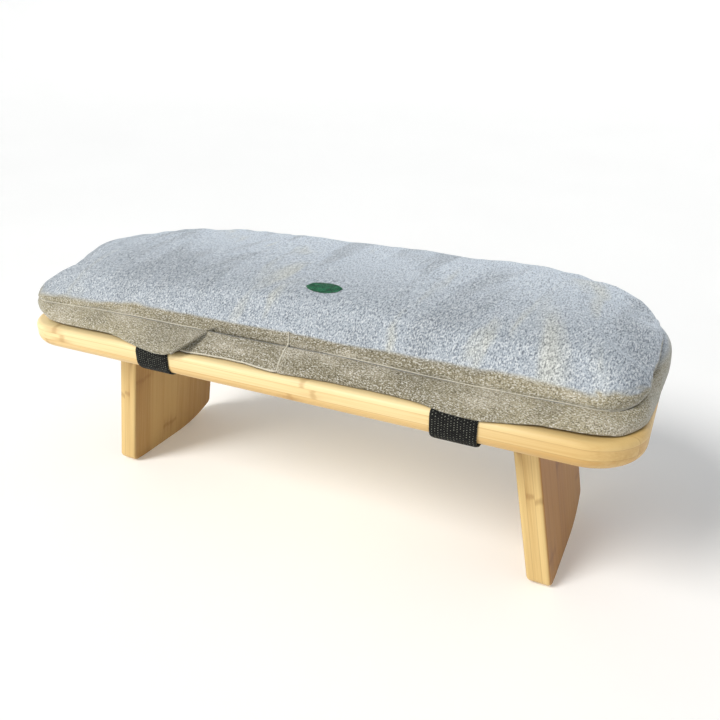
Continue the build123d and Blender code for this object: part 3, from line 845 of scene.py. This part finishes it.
def cushion_band():
    """Velvet band round the cushion from the side seam to its hem, with the fold over the left strap."""
    seam, outward = plan(0.0, density=3)
    count = len(seam)
    rows = 20
    rings = [[] for _ in range(2 * rows + 3)]
    for p, n in zip(seam, outward):
        strap_under = over_strap(p, n)
        hem = hem_height(p, n, strap_under)
        slope = FOLD_LEAN * faces_near(n) * bell(p[0], FOLD_X, 42 * MM)
        for j in range(rows + 1):
            t = j / rows
            height = (seam_at(p) + 0.6 * MM) * (1 - t) + hem * t
            out = band_form(p, n, t) + band_waves(p, height, t, strap_under)
            spot = Vector((p[0] + height * slope + n[0] * out, p[1] + n[1] * out, BOARD_TOP + height))
            rings[j].append(spot)
            inner = 1 - 0.5 * smooth(0.85, 1.0, t)
            rings[2 * rows + 2 - j].append(spot - Vector((n[0], n[1], 0)) * BAND_CLOTH * inner)
        low = rings[rows][-1]
        rings[rows + 1].append(low - Vector((n[0] * 0.45 * MM, n[1] * 0.45 * MM, 0.45 * MM)))
    verts = [v for ring in rings for v in ring]
    faces = []
    for i in range(len(rings)):
        faces += inner_ring_faces(i, (i + 1) % len(rings), count)
    return verts, faces


cushion = new_piece("velvet_cushion", *cushion_form(), VELVET, "velvet")
remesh(cushion, REMESH_SIZE)
inflate(cushion)
subdivide(cushion)
dress(cushion)
shade_smooth(cushion)
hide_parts("cushion_cover_top", "cushion_cover_bottom", "cushion_foam_core")

band = new_piece("velvet_band", *cushion_band(), VELVET, "velvet")
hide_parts("cushion_cover_band")


def tree(*objects):
    """Surface of the objects, for rays to hit."""
    parts = []
    for obj in objects:
        verts = [obj.matrix_world @ v.co for v in obj.data.vertices]
        faces = [tuple(p.vertices) for p in obj.data.polygons]
        parts.append((verts, faces))
    return BVHTree.FromPolygons(*merge(parts))


surface = tree(cushion, band)


def on_side(x, y, height, inwards):
    """Point of the cushion met from outside along inwards, at a height above the board."""
    run_up = 60 * MM
    start = Vector((x, y, BOARD_TOP + height)) - inwards * run_up
    return surface.ray_cast(start, inwards)[0]


def seam_line():
    """Points along the seam that joins the top panel to the band, sunk where the pile hides it."""
    rim, outward = plan(0.0)
    points = []
    for p, n in zip(rim, outward):
        inwards = Vector((-n[0], -n[1], 0))
        wander = 0.3 * MM * noise.noise(Vector((p[0] * 60, p[1] * 60, 1.0)))
        hit = on_side(p[0], p[1], seam_at(p) + 0.9 * MM + wander, inwards)
        if hit:
            points.append(hit + inwards * (0.8 * seam_fade(p, n) - 0.2) * MM)
    return points


def near_line(pairs, stand):
    """Points on the near side of the cushion, moved outwards by stand, for pairs of X and height."""
    hits = [on_side(x, SEAM_NEAR, height, Vector((0, 1, 0))) for x, height in pairs]
    return [hit + Vector((0, -stand, 0)) for hit in hits if hit]


def frayed(t):
    """Uneven radius of the upright seam's welt, thickest in the middle."""
    return 0.7 * MM * (0.75 + 0.5 * noise.noise(Vector((t * 60, 7.0, 0.5))) + 0.25 * sin(pi * t))


def tapering(t):
    """Radius of the fold's lip, thinner towards its upper end."""
    return 1.1 * MM * (1 - 0.85 * t)


def trims():
    """Welts, lip of the fold and rolled hem, as thin tubes along lines on the cushion."""
    out = Vector((0, -1, 0))
    new_piece("side_seam_welt", *tube(seam_line(), 0.42 * MM, sides=6, closed=True), VELVET_PAINTED_HIGHLIGHT, "velvet")

    seam_heights = np.linspace(1.8 * MM, 25 * MM, 26)
    band_seam = near_line([(band_seam_x(height), height) for height in seam_heights], 0.2 * MM)
    new_piece("band_seam_welt", *tube(band_seam, frayed, sides=6, up=out), VELVET_PAINTED_HIGHLIGHT, "velvet")

    lip_heights = np.linspace(1.6 * MM, 16.6 * MM, 26)
    lip_path = [(FOLD_X - 1.2 * MM + height * FOLD_LEAN, height) for height in lip_heights]
    lip = near_line(lip_path, -0.4 * MM)
    new_piece("fold_lip", *tube(lip, tapering, sides=10, up=out), VELVET_SIDE, "velvet")

    hem = near_line([(x, 1.9 * MM) for x in np.linspace(-75 * MM, BAND_SEAM_X, 60)], -0.15 * MM)
    new_piece("hem_roll", *tube(hem, 0.6 * MM), VELVET_PAINTED_HIGHLIGHT, "velvet")


trims()


# ---------------------------------------------------------------- embroidered motif
def motif():
    """Generic oval in satin stitch: slanted threads over the whole shape, with a stitched rim."""
    low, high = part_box("cushion_embroidered_motif")
    centre, half = (low + high) / 2, (high - low) / 2
    strands = []

    def lay(start, end, radius, arch):
        path = []
        for t in np.linspace(0, 1, 9):
            x = start[0] + (end[0] - start[0]) * t
            y = start[1] + (end[1] - start[1]) * t
            hit = surface.ray_cast(Vector((x, y, RAY_FROM)), Vector((0, 0, -1)))[0]
            path.append(hit + Vector((0, 0, radius * 0.5 + arch * sin(pi * t))))
        strands.append(tube(path, radius, sides=5))

    count = 56
    slant = 1.4 * MM
    for i in range(count):
        t = -1 + 2 * (i + 0.5) / count
        reach = half.y * 0.93 * (1 - t * t) ** 0.5
        x = centre.x + half.x * 0.97 * t
        reach += 0.25 * MM * noise.noise(Vector((i * 3.1, 0.0, 0.0)))
        lay((x - slant, centre.y - reach), (x + slant, centre.y + reach), 0.27 * MM, 0.45 * MM)

    def on_oval(angle, share):
        return centre.x + half.x * share * cos(angle), centre.y + half.y * share * sin(angle)

    stitches = 90
    for i in range(stitches):
        a = 2 * pi * i / stitches
        lay(on_oval(a, 0.86), on_oval(a + 0.05, 1.0), 0.24 * MM, 0.5 * MM)
    return merge(strands)


embroidery = new_piece("embroidered_oval", *motif(), GREEN_THREAD, "embroidery")
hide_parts("cushion_embroidered_motif")


# ---------------------------------------------------------------- elastic straps
def rounded_section(gap, under):
    """The board's rounded YZ section grown by a gap, from the near tab round underneath to the far tab."""
    top_radius, low_radius = 4 * MM + gap, 9 * MM + gap
    near, far = BOARD_LOW.y - gap, BOARD_HIGH.y + gap
    top, bottom = BOARD_TOP + gap, BOARD_LOW.z - gap - under

    def straight(start, end, spacing=1.2 * MM):
        length = (Vector(end) - Vector(start)).length
        return run(start, end, max(2, int(length / spacing)))

    def bend(centre, radius, first):
        return turn(centre, (radius, radius), first, 12)

    points = straight((near + STRAP_TAB, top), (near + top_radius, top))
    points += bend((near + top_radius, top - top_radius), top_radius, 90)
    points += straight((near, top - top_radius), (near, bottom + low_radius))
    points += bend((near + low_radius, bottom + low_radius), low_radius, 180)
    points += straight((near + low_radius, bottom), (far - low_radius, bottom))
    points += bend((far - low_radius, bottom + low_radius), low_radius, 270)
    points += straight((far, bottom + low_radius), (far, top - top_radius))
    points += bend((far - top_radius, top - top_radius), top_radius, 0)
    return points + straight((far - top_radius, top), (far - STRAP_TAB, top)) + [(far - STRAP_TAB, top)]


board_surface = tree(frame["nodes"]["seat_board"])


def far_edge(x):
    """How far the board's curved far edge lies in from its furthest point at x."""
    middle = (BOARD_LOW.z + BOARD_HIGH.z) / 2
    return BOARD_HIGH.y - board_surface.ray_cast(Vector((x, RAY_FROM, middle)), Vector((0, -1, 0)))[0].y


def strap_faces(columns, rows):
    """Faces of two layers of columns by rows cells, closed along both edges and at both ends."""
    row = columns + 1
    block = 2 * row
    faces = []
    for i in range(rows):
        a, b = i * block, (i + 1) * block
        for k in range(columns):
            faces.append((a + k, a + k + 1, b + k + 1, b + k))
            faces.append((a + row + k, b + row + k, b + row + k + 1, a + row + k + 1))
        faces.append((a, b, b + row, a + row))
        faces.append((a + columns, a + row + columns, b + row + columns, b + columns))
    last = rows * block
    for k in range(columns):
        faces.append((k, row + k, row + k + 1, k + 1))
        faces.append((last + k, last + k + 1, last + row + k + 1, last + row + k))
    return faces


def strap(side):
    """Flat elastic with thin selvedges, slightly wavy edges and a fine rib."""
    low, high = STRAP_BOXES[side]
    under = RIGHT_STRAP_SLACK if side == "right" else 0.0
    inner = rounded_section(STRAP_GAP, under)
    columns = 30
    width = high.x - low.x
    verts, maps = [], []
    lengths = [0.0]
    for a, b in zip(inner, inner[1:]):
        lengths.append(lengths[-1] + (Vector(b) - Vector(a)).length)
    path = [Vector(p) for p in inner]
    for i, p in enumerate(path):
        along = (path[min(i + 1, len(path) - 1)] - path[max(i - 1, 0)]).normalized()
        out = Vector((-along.y, along.x)) * -1
        for layer in (0, 1):
            for k in range(columns + 1):
                t = k / columns
                edge = min(t, 1 - t) * width
                body = STRAP_THICKNESS * (0.55 + 0.45 * smooth(0.0, 1.6 * MM, edge))
                rib = 0.07 * MM * sin(2 * pi * lengths[i] / (1.25 * MM)) * smooth(0, 1.5 * MM, edge)
                wave = 0.25 * MM * noise.noise(Vector((lengths[i] * 50, t * 3, low.x * 10)))
                off = out * (body + rib if layer else 0.0)
                x = low.x + width * t + wave * (2 * t - 1)
                drawn_in = far_edge(x) * smooth(70 * MM, 98 * MM, p.x)
                verts.append(Vector((x, p.x + off.x - drawn_in, p.y + off.y)))
                maps.append((t * width / MM, lengths[i] / MM))
    faces = strap_faces(columns, len(path) - 1)
    obj = new_piece(f"{side}_woven_strap", verts, faces, ELASTIC, "elastic")
    layer = obj.data.uv_layers.new(name="weave")
    indices = np.zeros(len(obj.data.loops), int)
    obj.data.loops.foreach_get("vertex_index", indices)
    layer.data.foreach_set("uv", np.array(maps)[indices].reshape(-1))
    face_outwards(obj)
    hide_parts(f"{side}_elastic_strap")


def face_outwards(obj):
    """Turns every face of the mesh outwards."""
    work = bmesh.new()
    work.from_mesh(obj.data)
    bmesh.ops.recalc_face_normals(work, faces=work.faces)
    work.to_mesh(obj.data)
    work.free()


strap("left")
strap("right")


# ---------------------------------------------------------------- zip coil
def coil():
    """Two rows of moulded loops that mesh along the zip."""
    low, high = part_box("zip_coil")
    middle = (low + high) / 2
    radius = 0.28 * MM
    half_gap = 0.30 * MM
    pitch = 1.5 * MM
    loops = []
    number = int((high.x - low.x - 2 * radius) / pitch)
    for i in range(number):
        for row in (-1, 1):
            x = low.x + radius + pitch * (i + (0.5 if row > 0 else 0.0)) + 0.2 * MM
            inner = middle.z - row * 0.35 * MM
            outer = middle.z + row * ((high.z - low.z) / 2 - radius)
            path = [Vector((x, middle.y - half_gap, outer))]
            for a in np.linspace(-pi / 2, pi / 2, 5):
                path.append(Vector((x + 0.26 * MM * cos(a), middle.y + half_gap * sin(a), inner)))
            path.append(Vector((x, middle.y + half_gap, outer)))
            loops.append(tube(path, radius, sides=6))
    return merge(loops)


zip_rows = new_piece("zip_coil_loops", *coil(), SLOT_MATERIALS["zip_nylon"], "zip_nylon")
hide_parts("zip_coil")


# ---------------------------------------------------------------- floor, light and camera
# Radius and height of the floor's rings: flat, then curving up into a wall
FLOOR_RINGS = [
    (5.0, 0.0), (6.0, 0.03), (7.0, 0.12), (8.0, 0.30), (9.0, 0.60), (10.0, 1.1), (11.0, 2.0), (11.7, 3.3),
    (12.0, 5.0),
]


def floor():
    """Pale floor that curves up into a wall far away, so that the horizon is as pale as the floor."""
    nodes = Nodes("pale_floor")
    tone = nodes.noise(nodes.position, 3.0, detail=3.0)
    colour = nodes.mix(nodes.span(tone, 0.3, 0.7), (0.965, 0.965, 0.965), (0.985, 0.985, 0.985))
    nodes.finish(colour, 0.9, Specular_IOR_Level=0.1, Emission_Color=(1, 1, 1, 1), Emission_Strength=0.07)
    count = 96
    angles = [2 * pi * k / count for k in range(count)]
    verts = [(radius * cos(a), radius * sin(a), height) for radius, height in FLOOR_RINGS for a in angles]
    faces = [tuple(range(count))]
    for i in range(len(FLOOR_RINGS) - 1):
        faces += inner_ring_faces(i, i + 1, count)
    new_mesh("floor", verts, faces, nodes.material)


def light(name, kind, place, target, power, colour, **settings):
    """Light at a place, turned towards a target."""
    data = bpy.data.lights.new(name, kind)
    data.energy = power
    data.color = colour
    for key, value in settings.items():
        setattr(data, key, value)
    obj = bpy.data.objects.new(name, data)
    bpy.context.scene.collection.objects.link(obj)
    obj.location = place
    obj.rotation_mode = "QUATERNION"
    obj.rotation_quaternion = (Vector(target) - Vector(place)).to_track_quat("-Z", "Y")


floor()
light("window", "SUN", (-1.5, -2.2, 2.5), (0, 0, 0.1), 2.22, (1.0, 0.98, 0.94), angle=radians(24))
light("near_left", "AREA", (-0.85, -0.95, 0.45), (-0.15, 0, 0.14), 3.2, (1.0, 0.96, 0.86), size=0.5)
world = bpy.data.worlds.new("studio")
bpy.context.scene.world = world
world.use_nodes = True
sky = world.node_tree.nodes["Background"]
sky.inputs["Color"].default_value = (0.92, 0.96, 1.0, 1.0)
sky.inputs["Strength"].default_value = 0.41

bpy.context.scene.view_settings.view_transform = "Standard"

camera_data = bpy.data.cameras.new("camera")
camera_data.lens = CAMERA_LENS
camera_data.sensor_width = 36.0
camera_data.shift_x = CAMERA_SHIFT
camera = bpy.data.objects.new("camera", camera_data)
bpy.context.scene.collection.objects.link(camera)
turned = Matrix.Rotation(radians(CAMERA_TURN), 4, "Z")
tilted = Matrix.Rotation(radians(90 - CAMERA_DIP), 4, "X")
rolled = Matrix.Rotation(radians(CAMERA_ROLL), 4, "Z")
camera.matrix_world = Matrix.Translation(CAMERA_PLACE) @ turned @ tilted @ rolled
bpy.context.scene.camera = camera
